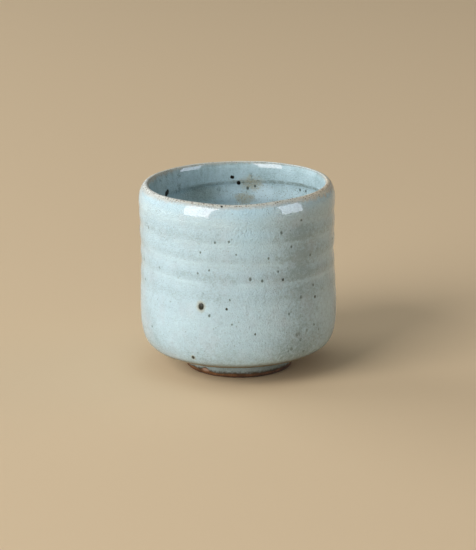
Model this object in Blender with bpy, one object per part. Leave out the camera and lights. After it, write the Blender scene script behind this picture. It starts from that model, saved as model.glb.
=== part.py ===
"""Hand-thrown stoneware tea bowl: a thrown clay body on a turned foot ring, glazed outside and inside.

Every piece is turned about the bowl's axis from a half section. One skin outline sets them all. It runs from
the glaze line on the foot, up the outside, over the lip and down to the middle of the floor, and each of its
points carries the thickness of the glaze there. The clay lies under the glaze by that thickness and a seam.
The fingers leave a spiral of shallow throwing rings on both sides of the wall.
Metres, +Z up. The origin is on the table, under the middle of the bowl.
"""

import math

import bmesh
import bpy
from mathutils import Vector
from mathutils.geometry import interpolate_bezier

# Heights, stacked from the table to the top of the lip
FOOT_HEIGHT = 0.0053
HEEL_HEIGHT = 0.0237
BELLY_TO_WAIST = 0.0250
WAIST_TO_SHOULDER = 0.0240
SHOULDER_TO_LIP = 0.0075

# Outside radii of the wall
BELLY_RADIUS = 0.0450
WAIST_RADIUS = 0.0443
SHOULDER_RADIUS = 0.0446

# The lip rolls in from the shoulder to its crest, and turns down more steeply on the inside
LIP_OUTER_ROLL = 0.0036
LIP_INNER_ROLL = 0.0016
LIP_INNER_DROP = 0.0046

# The heel is the turn from the belly to the underside
HEEL_FULLNESS = 0.0173
UNDERSIDE_REACH = 0.0165
UNDERSIDE_SLOPE = math.radians(6.5)

# Clay and glaze together, at the belly and at the middle of the floor
BELLY_WALL = 0.0054
FLOOR_THICKNESS = 0.0068
FLOOR_RADIUS = 0.0210
INNER_HEEL_FULLNESS = 0.0150
INNER_HEEL_REACH = 0.0140

# Throwing rings: one shallow spiral groove on each side of the wall, a pitch apart from turn to turn
RING_PITCH = 0.0090
RING_DEPTH = 0.00025
INNER_RING_DEPTH = 0.0005
INNER_RIDGE_DROP = 0.0045

# Turned foot ring
FOOT_RADIUS = 0.0245
FOOT_RING_WIDTH = 0.0052
FOOT_INNER_FLARE = 0.0012
FOOT_EDGE_RADIUS = 0.0007
FOOT_FILLET = 0.0012

# Glaze coats, and the bare clay that they leave at the lip and on the foot
GLAZE = 0.0004
GLAZE_EDGE = 0.00015
GLAZE_LINE_HEIGHT = 0.0026
SEAM = 0.0003
OUTER_COAT_END = math.radians(68)
INNER_COAT_START = math.radians(35)

# The foot was cut a little out of square, so the bowl leans to -X
LEAN = math.radians(0.8)

# Facets round the axis and along the outlines
SEGMENTS = 48
FINE_WALL_STEPS = 22
PLAIN_WALL_STEPS = 5
HEEL_STEPS = 7
LIP_STEPS = 4
FILLET_STEPS = 3
EDGE_STEPS = 2
SMOOTH_ANGLE = math.radians(40)

# Heights that the stack gives
JOINT_HEIGHT = FOOT_HEIGHT + SEAM
BELLY_HEIGHT = FOOT_HEIGHT + HEEL_HEIGHT
WAIST_HEIGHT = BELLY_HEIGHT + BELLY_TO_WAIST
SHOULDER_HEIGHT = WAIST_HEIGHT + WAIST_TO_SHOULDER
RIM_HEIGHT = SHOULDER_HEIGHT + SHOULDER_TO_LIP
FLOOR_HEIGHT = JOINT_HEIGHT + FLOOR_THICKNESS

# Radii that follow from those
LIP_RADIUS = SHOULDER_RADIUS - LIP_OUTER_ROLL
LIP_WALL = LIP_OUTER_ROLL + LIP_INNER_ROLL
FOOT_SKIN_RADIUS = FOOT_RADIUS + GLAZE + SEAM


def ease(share):
    """0 to 1 with level ends, for a wall that leaves one radius and meets the next without a corner."""
    share = min(max(share, 0.0), 1.0)
    return share * share * (3.0 - 2.0 * share)


def between(first, last, steps):
    """Evenly spaced values from first to last, both included."""
    return [first + (last - first) * i / steps for i in range(steps + 1)]


def skin_point(radius, height, glaze=GLAZE):
    """A point of the skin outline: radius, height, and the glaze on the clay there."""
    return Vector((radius, height, glaze))


def wall_radius(height):
    """The outside of the wall without its rings: belly, waist and shoulder, eased into each other."""
    if height < WAIST_HEIGHT:
        return BELLY_RADIUS + (WAIST_RADIUS - BELLY_RADIUS) * ease((height - BELLY_HEIGHT) / BELLY_TO_WAIST)
    return WAIST_RADIUS + (SHOULDER_RADIUS - WAIST_RADIUS) * ease((height - WAIST_HEIGHT) / WAIST_TO_SHOULDER)


def wall_thickness(height):
    """Clay and glaze together: thickest at the belly, thinnest under the lip."""
    share = ease((height - BELLY_HEIGHT) / (SHOULDER_HEIGHT - BELLY_HEIGHT))
    return BELLY_WALL + (LIP_WALL - BELLY_WALL) * share


def ring_share(height, top):
    """How far the rings stand out: not at the belly, fully from the waist up, and not at the wall's top."""
    return ease((height - BELLY_HEIGHT) / BELLY_TO_WAIST) * ease((top - height) / (RING_PITCH / 2))


def outer_ring_room(height):
    """The deepest that the spiral groove may be at this height outside."""
    return RING_DEPTH * ring_share(height, SHOULDER_HEIGHT)


def inner_ring_room(height):
    """The deepest that the spiral groove may be at this height inside."""
    return INNER_RING_DEPTH * ring_share(height, RIM_HEIGHT - LIP_INNER_DROP)


def spiral_share(point, crest_height):
    """0 on the rings' crest and 1 in the groove. In front a crest is at crest_height, and it rises to -X."""
    from_front = math.atan2(point.x, -point.y)
    turn = 2.0 * math.pi * (point.z - crest_height) / RING_PITCH + from_front
    return (1.0 - math.cos(turn)) / 2.0


def bezier(start, start_handle, end_handle, end, steps):
    return [Vector(p) for p in interpolate_bezier(start, start_handle, end_handle, end, steps + 1)]


def foot_and_heel():
    """The glazed side of the foot, the fillet under the bowl, and the heel up to the belly."""
    side = [skin_point(FOOT_SKIN_RADIUS, GLAZE_LINE_HEIGHT)]
    centre = skin_point(FOOT_SKIN_RADIUS + FOOT_FILLET, JOINT_HEIGHT)
    fillet = [
        centre + FOOT_FILLET * Vector((math.cos(turn), math.sin(turn), 0.0))
        for turn in between(math.pi, math.pi / 2 + UNDERSIDE_SLOPE, FILLET_STEPS)
    ]
    underside = fillet[-1]
    along = Vector((math.cos(UNDERSIDE_SLOPE), math.sin(UNDERSIDE_SLOPE), 0.0))
    belly = skin_point(BELLY_RADIUS, BELLY_HEIGHT)
    below_belly = belly - Vector((0.0, HEEL_FULLNESS, 0.0))
    heel = bezier(underside, underside + UNDERSIDE_REACH * along, below_belly, belly, HEEL_STEPS)
    return side + fillet + heel[1:]


def outside(wall_steps):
    """The skin from the glaze line on the foot to where the outer coat ends, short of the lip's crest."""
    wall = []
    for height in between(BELLY_HEIGHT, SHOULDER_HEIGHT, wall_steps)[1:]:
        wall.append(skin_point(wall_radius(height), height, GLAZE + outer_ring_room(height)))
    lip = []
    for turn in between(0.0, OUTER_COAT_END, LIP_STEPS)[1:]:
        share = turn / OUTER_COAT_END
        glaze = GLAZE * (1.0 - share) + GLAZE_EDGE * share
        radius = LIP_RADIUS + LIP_OUTER_ROLL * math.cos(turn)
        lip.append(skin_point(radius, SHOULDER_HEIGHT + SHOULDER_TO_LIP * math.sin(turn), glaze))
    return foot_and_heel() + wall + lip


def inner_lip_point(turn, glaze):
    """A point on the inner turn of the lip: turn is 0 at the crest and a right angle at its foot."""
    radius = LIP_RADIUS - LIP_INNER_ROLL * math.sin(turn)
    return skin_point(radius, RIM_HEIGHT - LIP_INNER_DROP * (1.0 - math.cos(turn)), glaze)


def bare_lip():
    """The crest of the lip between the two coats, where the clay itself is the skin."""
    crest = skin_point(LIP_RADIUS, RIM_HEIGHT, 0.0)
    outer_turn = (OUTER_COAT_END + math.pi / 2) / 2
    outer = skin_point(
        LIP_RADIUS + LIP_OUTER_ROLL * math.cos(outer_turn),
        SHOULDER_HEIGHT + SHOULDER_TO_LIP * math.sin(outer_turn),
        0.0,
    )
    return [outer, crest]


def inside(wall_steps):
    """The skin from where the inner coat starts, below the lip's crest, to the middle of the floor."""
    lip = []
    for turn in between(INNER_COAT_START, math.pi / 2, EDGE_STEPS):
        share = (turn - INNER_COAT_START) / (math.pi / 2 - INNER_COAT_START)
        lip.append(inner_lip_point(turn, GLAZE_EDGE * (1.0 - share) + GLAZE * share))
    wall = []
    for height in between(lip[-1].y, BELLY_HEIGHT, wall_steps)[1:]:
        radius = wall_radius(height) - wall_thickness(height)
        wall.append(skin_point(radius, height, GLAZE + inner_ring_room(height)))
    belly = wall[-1]
    floor_edge = skin_point(FLOOR_RADIUS, FLOOR_HEIGHT)
    below_belly = belly - Vector((0.0, INNER_HEEL_FULLNESS, 0.0))
    beside_floor = floor_edge + Vector((INNER_HEEL_REACH, 0.0, 0.0))
    heel = bezier(belly, below_belly, beside_floor, floor_edge, HEEL_STEPS)
    return lip + wall + heel[1:] + [skin_point(0.0, FLOOR_HEIGHT)]


def under_glaze(outline, seam=0.0):
    """The outline moved into the bowl by its glaze and a seam, along its own normals."""
    moved = []
    for i, point in enumerate(outline):
        along = (outline[min(i + 1, len(outline) - 1)] - outline[max(i - 1, 0)]).to_2d().normalized()
        depth = point.z + seam
        moved.append(skin_point(point.x - depth * along.y, point.y + depth * along.x))
    return moved


def leaned(point):
    """A point moved to where the lean puts it: the base stays level, and the rest tilts about mid-height."""
    tilted_share = min(point.z / FOOT_HEIGHT, 1.0)
    sideways = (point.z - RIM_HEIGHT / 2) * math.tan(LEAN)
    return Vector((point.x - sideways, point.y, point.z + tilted_share * point.x * math.tan(LEAN)))


def finish(name, colour, roughness):
    """A fired-clay or glaze material of that sRGB colour, given as hex."""
    channels = [int(colour[i : i + 2], 16) / 255 for i in (0, 2, 4)]
    linear = [c / 12.92 if c <= 0.04045 else ((c + 0.055) / 1.055) ** 2.4 for c in channels]
    material = bpy.data.materials.new(name)
    material.use_nodes = True
    shader = material.node_tree.nodes["Principled BSDF"]
    shader.inputs["Base Color"].default_value = (*linear, 1.0)
    shader.inputs["Roughness"].default_value = roughness
    shader.inputs["Metallic"].default_value = 0.0
    return material


def turned(name, section, closed, material, ring_rooms=None, crest_height=0.0):
    """A piece turned from its half section. A section that isn't closed starts and ends on the axis.

    ring_rooms gives, for each point of the section, how far the spiral groove moves it from the axis at most.
    """
    mesh = bpy.data.meshes.new(name)
    shape = bmesh.new()
    ring_room = shape.verts.layers.float.new("ring_room")
    corners = [shape.verts.new((point.x, 0.0, point.y)) for point in section]
    for corner, room in zip(corners, ring_rooms or []):
        corner[ring_room] = room
    edges = [shape.edges.new(pair) for pair in zip(corners, corners[1:])]
    if closed:
        edges.append(shape.edges.new((corners[-1], corners[0])))
    bmesh.ops.spin(
        shape,
        geom=corners + edges,
        cent=(0.0, 0.0, 0.0),
        axis=(0.0, 0.0, 1.0),
        angle=2.0 * math.pi,
        steps=SEGMENTS,
    )
    bmesh.ops.remove_doubles(shape, verts=shape.verts, dist=1e-6)
    for corner in shape.verts:
        if corner[ring_room]:
            outward = Vector((corner.co.x, corner.co.y, 0.0)).normalized()
            corner.co += outward * corner[ring_room] * spiral_share(corner.co, crest_height)
        corner.co = leaned(corner.co)
    bmesh.ops.recalc_face_normals(shape, faces=shape.faces)
    shape.to_mesh(mesh)
    shape.free()
    mesh.shade_smooth()
    mesh.set_sharp_from_angle(angle=SMOOTH_ANGLE)
    piece = bpy.data.objects.new(name, mesh)
    piece.data.materials.append(material)
    bpy.context.scene.collection.objects.link(piece)
    return piece


def thrown_body():
    """The clay wall and floor: glazed on both sides, bare over the lip, and flat where the foot joins."""
    from_joint = outside(PLAIN_WALL_STEPS)[1:]
    joint = [skin_point(0.0, JOINT_HEIGHT)]
    outer = under_glaze(from_joint, SEAM)
    outer[0] = skin_point(FOOT_RADIUS, JOINT_HEIGHT)
    inner = under_glaze(inside(PLAIN_WALL_STEPS), SEAM)
    stoneware = finish("fired_stoneware", "7A5540", 0.85)
    return turned("thrown_body", joint + outer + bare_lip() + inner, False, stoneware)


def foot_ring():
    """The ring of bare clay that the bowl stands on, with softened edges and a flared inner side."""
    inner_radius = FOOT_RADIUS - FOOT_RING_WIDTH
    outer_centre = Vector((FOOT_RADIUS - FOOT_EDGE_RADIUS, FOOT_EDGE_RADIUS))
    inner_centre = Vector((inner_radius + FOOT_EDGE_RADIUS, FOOT_EDGE_RADIUS))
    outer_edge = between(0.0, -math.pi / 2, EDGE_STEPS)
    inner_edge = between(-math.pi / 2, -math.pi, EDGE_STEPS)
    section = [skin_point(FOOT_RADIUS, FOOT_HEIGHT)]
    for centre, turns in ((outer_centre, outer_edge), (inner_centre, inner_edge)):
        for turn in turns:
            corner = centre + FOOT_EDGE_RADIUS * Vector((math.cos(turn), math.sin(turn)))
            section.append(skin_point(corner.x, corner.y))
    section.append(skin_point(inner_radius - FOOT_INNER_FLARE, FOOT_HEIGHT))
    return turned("foot_ring", section, True, finish("turned_bare_stoneware", "6E4834", 0.90))


def outer_glaze():
    """The coat outside, from its line on the foot to its thin edge at the lip, with the throwing rings."""
    skin = outside(FINE_WALL_STEPS)
    hidden = under_glaze(outside(PLAIN_WALL_STEPS))
    rooms = [-outer_ring_room(point.y) for point in skin]
    glaze = finish("pale_blue_glaze", "BFD0D2", 0.16)
    return turned("outer_glaze", skin + hidden[::-1], True, glaze, rooms, SHOULDER_HEIGHT)


def inner_glaze():
    """The coat inside, from its thin edge at the lip down over the floor, with the throwing rings."""
    skin = inside(FINE_WALL_STEPS)[::-1]
    hidden = under_glaze(inside(PLAIN_WALL_STEPS))
    rooms = [inner_ring_room(point.y) for point in skin]
    glaze = finish("pale_blue_liner_glaze", "B4CBD0", 0.12)
    return turned("inner_glaze", skin + hidden, False, glaze, rooms, RIM_HEIGHT - INNER_RIDGE_DROP)


def clear_scene():
    for existing in list(bpy.data.objects):
        bpy.data.objects.remove(existing, do_unlink=True)


def main():
    clear_scene()
    thrown_body()
    foot_ring()
    outer_glaze()
    inner_glaze()


main()
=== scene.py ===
import math

import bpy
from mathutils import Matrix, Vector, noise
from mathutils.geometry import interpolate_bezier


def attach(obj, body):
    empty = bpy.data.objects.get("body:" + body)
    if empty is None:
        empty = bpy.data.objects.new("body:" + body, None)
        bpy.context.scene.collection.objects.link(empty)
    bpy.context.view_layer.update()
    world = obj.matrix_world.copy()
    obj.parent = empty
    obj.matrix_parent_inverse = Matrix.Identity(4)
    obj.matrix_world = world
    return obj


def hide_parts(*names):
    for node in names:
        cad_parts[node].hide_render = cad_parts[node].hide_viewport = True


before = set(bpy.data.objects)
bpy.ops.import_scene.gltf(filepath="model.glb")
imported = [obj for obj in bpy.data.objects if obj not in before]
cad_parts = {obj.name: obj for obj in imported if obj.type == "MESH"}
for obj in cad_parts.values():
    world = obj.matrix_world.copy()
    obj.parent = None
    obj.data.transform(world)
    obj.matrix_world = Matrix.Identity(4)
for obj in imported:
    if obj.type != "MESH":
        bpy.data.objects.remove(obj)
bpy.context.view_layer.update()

# Thrown body: iron-bearing stoneware, thrown on the wheel in one go as a floor and an upright wall, with the
# lip rolled in under the fingers. Glaze hides most of it. It shows along the crest of the lip, where glaze
# melts thin, and under the bowl, inside the foot, where the turning tool left shallow rings.
MM = 0.001
LEAN = math.radians(0.8)
FOOT_HEIGHT = 5.3 * MM
JOINT_HEIGHT = 5.6 * MM
BELLY_HEIGHT = 29.0 * MM
WAIST_HEIGHT = 54.0 * MM
SHOULDER_HEIGHT = 78.0 * MM
RIM_HEIGHT = 85.5 * MM
BELLY_RADIUS = 45.0 * MM
WAIST_RADIUS = 44.3 * MM
SHOULDER_RADIUS = 44.6 * MM
LIP_RADIUS = 41.0 * MM
LIP_INNER_ROLL = 1.6 * MM
LIP_INNER_DROP = 3.6 * MM
BELLY_WALL = 5.4 * MM
LIP_WALL = 5.2 * MM
FLOOR_HEIGHT = 12.4 * MM
FLOOR_RADIUS = 21.0 * MM
RECESS_RADIUS = 17.8 * MM
FOOT_SKIN_RADIUS = 25.2 * MM
FOOT_FILLET = 1.2 * MM
UNDERSIDE_SLOPE = math.radians(6.5)
UNDERSIDE_REACH = 16.5 * MM
HEEL_FULLNESS = 17.3 * MM
INNER_HEEL_FULLNESS = 15.0 * MM
INNER_HEEL_REACH = 14.0 * MM
TURNING_PITCH = 1.6 * MM
TURNING_DEPTH = 0.12 * MM
CLAY_DEPTH = 0.6 * MM
INNER_CLAY_DEPTH = 1.3 * MM
LIP_FILM = 0.02 * MM
# Degrees of the lip's turn over which the clay comes up to the skin outside, and goes down from it inside.
BARE_OUTSIDE_FROM = 48
BARE_OUTSIDE_OVER = 22
BARE_INSIDE_FROM = 10
BARE_INSIDE_OVER = 45
LIP_RISE = 0.22 * MM
LIP_WAVE = 0.75 * MM
LIP_WAVE_HALF_ANGLE = math.radians(22)
SWELL_SIZE = 14 * MM
SWELL_HEIGHT = 0.35 * MM
CLAY_GRIT_SIZE = 1.6 * MM
CLAY_GRIT_HEIGHT = 0.10 * MM
TURN_STEPS = 256


def linear(colour):
    """An sRGB hex colour as linear RGBA."""
    channels = [int(colour[i : i + 2], 16) / 255 for i in (0, 2, 4)]
    return (*[c / 12.92 if c <= 0.04045 else ((c + 0.055) / 1.055) ** 2.4 for c in channels], 1.0)


def feed(tree, target, inputs):
    """Sets a node's inputs. Each takes a value, an output socket, or a node whose first output is meant."""
    for key, value in dict(inputs).items():
        if isinstance(value, bpy.types.Node):
            value = next(output for output in value.outputs if output.enabled)
        if isinstance(value, bpy.types.NodeSocket):
            tree.links.new(value, target.inputs[key])
        else:
            target.inputs[key].default_value = value


def node(tree, kind, inputs=(), **settings):
    """Adds a shader node with its settings and inputs."""
    added = tree.nodes.new("ShaderNode" + kind)
    for name, value in settings.items():
        setattr(added, name, value)
    feed(tree, added, inputs)
    return added


def between(first, last, steps):
    """Evenly spaced values from first to last, both included."""
    return [first + (last - first) * i / steps for i in range(steps + 1)]


def ease(share):
    """0 to 1 with level ends."""
    share = min(max(share, 0.0), 1.0)
    return share * share * (3.0 - 2.0 * share)


def bezier(start, start_handle, end_handle, end, steps):
    """Points along a curve in the half section, both ends included."""
    corners = [corner.to_3d() for corner in (start, start_handle, end_handle, end)]
    return [point.to_2d() for point in interpolate_bezier(*corners, steps + 1)]


def wall_radius(height):
    """The outside of the wall without its rings: belly, waist and shoulder, eased into each other."""
    if height < WAIST_HEIGHT:
        share = ease((height - BELLY_HEIGHT) / (WAIST_HEIGHT - BELLY_HEIGHT))
        return BELLY_RADIUS + (WAIST_RADIUS - BELLY_RADIUS) * share
    share = ease((height - WAIST_HEIGHT) / (SHOULDER_HEIGHT - WAIST_HEIGHT))
    return WAIST_RADIUS + (SHOULDER_RADIUS - WAIST_RADIUS) * share


def wall_thickness(height):
    """From the skin outside to the skin inside: thickest at the belly."""
    share = ease((height - BELLY_HEIGHT) / (SHOULDER_HEIGHT - BELLY_HEIGHT))
    return BELLY_WALL + (LIP_WALL - BELLY_WALL) * share


def foot_fillet():
    """The small round between the side of the foot and the underside."""
    centre = Vector((FOOT_SKIN_RADIUS + FOOT_FILLET, JOINT_HEIGHT))
    turns = between(math.pi, math.pi / 2 + UNDERSIDE_SLOPE, 6)
    return [centre + FOOT_FILLET * Vector((math.cos(turn), math.sin(turn))) for turn in turns]


def heel_and_wall():
    """The skin from the fillet over the underside and the heel to the shoulder."""
    underside = foot_fillet()[-1]
    along = Vector((math.cos(UNDERSIDE_SLOPE), math.sin(UNDERSIDE_SLOPE)))
    belly = Vector((BELLY_RADIUS, BELLY_HEIGHT))
    below_belly = belly - Vector((0.0, HEEL_FULLNESS))
    heel = bezier(underside, underside + UNDERSIDE_REACH * along, below_belly, belly, 30)
    wall = [Vector((wall_radius(z), z)) for z in between(BELLY_HEIGHT, SHOULDER_HEIGHT, 64)]
    return heel + wall[1:]


def outer_lip(turn):
    """The skin of the lip outside: turn is 0 at the shoulder and a right angle at the crest."""
    rise = RIM_HEIGHT - SHOULDER_HEIGHT
    roll = SHOULDER_RADIUS - LIP_RADIUS
    return Vector((LIP_RADIUS + roll * math.cos(turn), SHOULDER_HEIGHT + rise * math.sin(turn)))


def inner_lip(turn):
    """The skin of the lip inside: turn is 0 at the crest and a right angle where the inner wall starts."""
    drop = LIP_INNER_DROP * (1.0 - math.cos(turn))
    return Vector((LIP_RADIUS - LIP_INNER_ROLL * math.sin(turn), RIM_HEIGHT - drop))


def inner_wall_and_floor():
    """The skin from the foot of the inner lip down to the middle of the floor."""
    heights = between(RIM_HEIGHT - LIP_INNER_DROP, BELLY_HEIGHT, 72)
    wall = [Vector((wall_radius(z) - wall_thickness(z), z)) for z in heights]
    floor_edge = Vector((FLOOR_RADIUS, FLOOR_HEIGHT))
    below_belly = wall[-1] - Vector((0.0, INNER_HEEL_FULLNESS))
    beside_floor = floor_edge + Vector((INNER_HEEL_REACH, 0.0))
    heel = bezier(wall[-1], below_belly, beside_floor, floor_edge, 24)
    floor = [Vector((radius, FLOOR_HEIGHT)) for radius in between(FLOOR_RADIUS, 0.0, 14)]
    return wall + heel[1:] + floor[1:]


def sunk(outline, depths):
    """The outline moved into the clay by a depth for each point, along its own normals."""
    moved = []
    for i, (point, depth) in enumerate(zip(outline, depths)):
        along = (outline[min(i + 1, len(outline) - 1)] - outline[max(i - 1, 0)]).normalized()
        moved.append(point + depth * Vector((-along.y, along.x)))
    return moved


def spun(name, outline):
    """Draws the half section point by point, spins it about the bowl's axis and closes seam and poles."""
    bpy.ops.object.select_all(action="DESELECT")
    bpy.ops.mesh.primitive_plane_add(size=MM)
    piece = bpy.context.object
    piece.name = name
    bpy.ops.object.mode_set(mode="EDIT")
    bpy.ops.mesh.merge(type="CENTER")
    bpy.ops.transform.translate(value=(outline[0].x, 0.0, outline[0].y))
    for here, there in zip(outline, outline[1:]):
        step = (there.x - here.x, 0.0, there.y - here.y)
        bpy.ops.mesh.extrude_region_move(TRANSFORM_OT_translate={"value": step})
    bpy.ops.mesh.select_all(action="SELECT")
    bpy.ops.mesh.spin(steps=TURN_STEPS, angle=2.0 * math.pi, center=(0.0, 0.0, 0.0), axis=(0.0, 0.0, 1.0))
    bpy.ops.mesh.select_all(action="SELECT")
    bpy.ops.mesh.remove_doubles(threshold=0.001 * MM)
    bpy.ops.mesh.normals_make_consistent(inside=False)
    bpy.ops.object.mode_set(mode="OBJECT")
    bpy.ops.object.shade_smooth()
    return piece


def roughen(piece, size, height):
    """Hand and kiln unevenness: swells of that size that move the surface by half that height at most."""
    swell = bpy.data.textures.new(piece.name + "_swell", "CLOUDS")
    swell.noise_scale = size
    bpy.ops.object.modifier_add(type="DISPLACE")
    displace = piece.modifiers[-1]
    displace.texture = swell
    displace.strength = height
    displace.mid_level = 0.5
    bpy.ops.object.modifier_apply(modifier=displace.name)


def reshape(piece, move):
    """Moves every corner of the piece's mesh by a function of its place."""
    for corner in piece.data.vertices:
        corner.co = move(corner.co)


def from_front(point):
    """The angle round the bowl from the front, positive to the right."""
    return math.atan2(point.x, -point.y)


def with_lip_wave(point):
    """A thrown lip isn't quite level: this one dips in front."""
    share = ease((point.z - WAIST_HEIGHT) / (RIM_HEIGHT - WAIST_HEIGHT))
    off_dip = from_front(point) / LIP_WAVE_HALF_ANGLE
    return point + Vector((0.0, 0.0, share * (LIP_RISE - LIP_WAVE * math.exp(-off_dip * off_dip))))


def leaned(point):
    """The foot was cut a little out of square: the base stays level, and the rest tilts about mid-height."""
    tilted_share = min(max(point.z, 0.0) / FOOT_HEIGHT, 1.0)
    sideways = (point.z - RIM_HEIGHT / 2) * math.tan(LEAN)
    return Vector((point.x - sideways, point.y, point.z + tilted_share * point.x * math.tan(LEAN)))


def turned_underside(radius):
    """The recess under the bowl, with the rings that the turning tool cut."""
    ring = (1.0 - math.cos(2.0 * math.pi * radius / TURNING_PITCH)) / 2.0
    return Vector((radius, JOINT_HEIGHT + TURNING_DEPTH * ring))


lip_turns = between(0.0, math.pi / 2, 18)
inner_turns = between(0.0, math.pi / 2, 12)
outer_clay = foot_fillet() + heel_and_wall()[1:-1] + [outer_lip(turn) for turn in lip_turns]
outer_depths = [CLAY_DEPTH] * (len(outer_clay) - len(lip_turns))
for turn in lip_turns:
    bare = ease((math.degrees(turn) - BARE_OUTSIDE_FROM) / BARE_OUTSIDE_OVER)
    outer_depths.append(LIP_FILM + CLAY_DEPTH * (1.0 - bare))
inner_clay = [inner_lip(turn) for turn in inner_turns] + inner_wall_and_floor()[1:]
inner_depths = []
for turn in inner_turns:
    covered = ease((math.degrees(turn) - BARE_INSIDE_FROM) / BARE_INSIDE_OVER)
    inner_depths.append(LIP_FILM + INNER_CLAY_DEPTH * covered)
inner_depths += [LIP_FILM + INNER_CLAY_DEPTH] * (len(inner_clay) - len(inner_turns))
clay_skin = sunk(outer_clay + inner_clay[1:], outer_depths + inner_depths[1:])
clay_skin[-1].x = 0.0
underside = [turned_underside(radius) for radius in between(0.0, RECESS_RADIUS, 60)]
thrown_body = spun("thrown_stoneware_body", underside + clay_skin)
roughen(thrown_body, SWELL_SIZE, SWELL_HEIGHT)
roughen(thrown_body, CLAY_GRIT_SIZE, CLAY_GRIT_HEIGHT)
reshape(thrown_body, with_lip_wave)
reshape(thrown_body, leaned)

# Iron-bearing stoneware fires tan to brown and matt, peppered with darker iron grains. A film of glaze on the
# crest of the lip makes it paler and a little glossier than the bare clay under the bowl. Its right end is
# creamy with brown streaks, and its left end and the back are paler.
CLAY_MOTTLE = 2.4 * MM
CLAY_STREAKS = 1.4 * MM
CLAY_GRAINS = 1.0 * MM
CLAY_RELIEF = 0.5 * MM
LIP_END_FROM = 22 * MM
LIP_END = 40 * MM
BACK_FROM = 2 * MM
BACK = 16 * MM
BARE_CLAY_TOP = 20 * MM
LIP_CLAY_FROM = 60 * MM


def lip_ends(tree, parts):
    """Masks of the lip's right end, in front only, and of its left end."""
    right_end = node(tree, "MapRange", {0: parts["X"], 1: LIP_END_FROM, 2: LIP_END})
    in_front = node(tree, "MapRange", {0: parts["Y"], 1: BACK, 2: BACK_FROM})
    right_end = node(tree, "Math", {0: right_end, 1: in_front}, operation="MULTIPLY")
    left_end = node(tree, "MapRange", {0: parts["X"], 1: -LIP_END_FROM, 2: -LIP_END})
    return right_end, left_end


def layered(tree, colour, layers):
    """Tints laid over a colour one after the other, each by its mask times its share."""
    for mask, share, tint in layers:
        laid = node(tree, "Math", {0: mask, 1: share}, operation="MULTIPLY")
        colour = node(tree, "Mix", {0: laid, 6: colour, 7: linear(tint)}, data_type="RGBA")
    return colour


stoneware = bpy.data.materials.new("iron_stoneware")
stoneware.use_nodes = True
tree = stoneware.node_tree
place = node(tree, "TexCoord").outputs["Object"]
parts = node(tree, "SeparateXYZ", {0: place}).outputs
mottle = node(tree, "TexNoise", {"Vector": place, "Scale": 1 / CLAY_MOTTLE, "Detail": 3.0})
right_end, left_end = lip_ends(tree, parts)
streaks = node(tree, "TexNoise", {"Vector": place, "Scale": 1 / CLAY_STREAKS, "Detail": 2.0})
streaks = node(tree, "MapRange", {0: streaks, 1: 0.46, 2: 0.56, 3: 0.0, 4: 0.45})
back = node(tree, "MapRange", {0: parts["Y"], 1: BACK_FROM, 2: BACK, 3: 0.0, 4: 0.9})
back_right = node(tree, "MapRange", {0: parts["X"], 1: -4 * MM, 2: 16 * MM})
lip_clay = node(tree, "Mix", {0: mottle, 6: linear("B5B8B0"), 7: linear("D8DCD8")}, data_type="RGBA")
lip_clay = layered(
    tree,
    lip_clay,
    [
        (right_end, 1.0, "F0E4CE"),
        (left_end, 0.5, "E8EEEE"),
        (streaks, right_end, "8C6A48"),
        (back, 0.7, "E8E6DC"),
        (back_right, back, "D6E0E0"),
    ],
)
at_lip = node(
    tree,
    "MapRange",
    {0: parts["Z"], 1: BARE_CLAY_TOP, 2: LIP_CLAY_FROM},
    interpolation_type="SMOOTHSTEP",
)
bare_clay = node(tree, "Mix", {0: mottle, 6: linear("5E4434"), 7: linear("866553")}, data_type="RGBA")
clay = node(tree, "Mix", {0: at_lip, 6: bare_clay, 7: lip_clay}, data_type="RGBA")
grains = node(tree, "TexVoronoi", {"Vector": place, "Scale": 1 / CLAY_GRAINS})
grains = node(tree, "MapRange", {0: grains.outputs["Distance"], 1: 0.22, 2: 0.42, 3: 0.85, 4: 0.0})
fewer = node(tree, "MapRange", {0: parts["Y"], 1: 0.0, 2: 20 * MM, 3: 1.0, 4: 0.4})
fewer = node(tree, "Math", {0: right_end, 1: -0.6, 2: fewer}, operation="MULTIPLY_ADD", use_clamp=True)
clay = layered(tree, clay, [(grains, fewer, "655848")])
grit = node(tree, "TexNoise", {"Vector": place, "Scale": 1 / CLAY_RELIEF, "Detail": 2.0})
relief = node(tree, "Bump", {"Height": grit, "Strength": 0.5, "Distance": 0.08 * MM})
gloss = node(tree, "MapRange", {0: at_lip, 3: 0.88, 4: 0.42})
finish = {"Base Color": clay, "Roughness": gloss, "Normal": relief, "IOR": 1.5}
feed(tree, tree.nodes["Principled BSDF"], finish)
thrown_body.data.materials.append(stoneware)
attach(thrown_body, "root")
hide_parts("thrown_body")

# Foot ring: the ring of bare stoneware under the bowl, turned from the base when the clay was leather-hard.
# The tool left fine rings on its side, and the edge that it stands on is softened with a wet finger.
FOOT_RADIUS = 24.5 * MM
FOOT_RING_WIDTH = 5.2 * MM
FOOT_INNER_FLARE = 1.2 * MM
FOOT_EDGE = 0.8 * MM
FOOT_TURNING_PITCH = 0.85 * MM
FOOT_TURNING_DEPTH = 0.10 * MM
FOOT_SWELL_SIZE = 5 * MM
FOOT_SWELL_HEIGHT = 0.30 * MM
FOOT_GRIT_SIZE = 1.0 * MM
FOOT_GRIT_HEIGHT = 0.12 * MM


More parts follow.
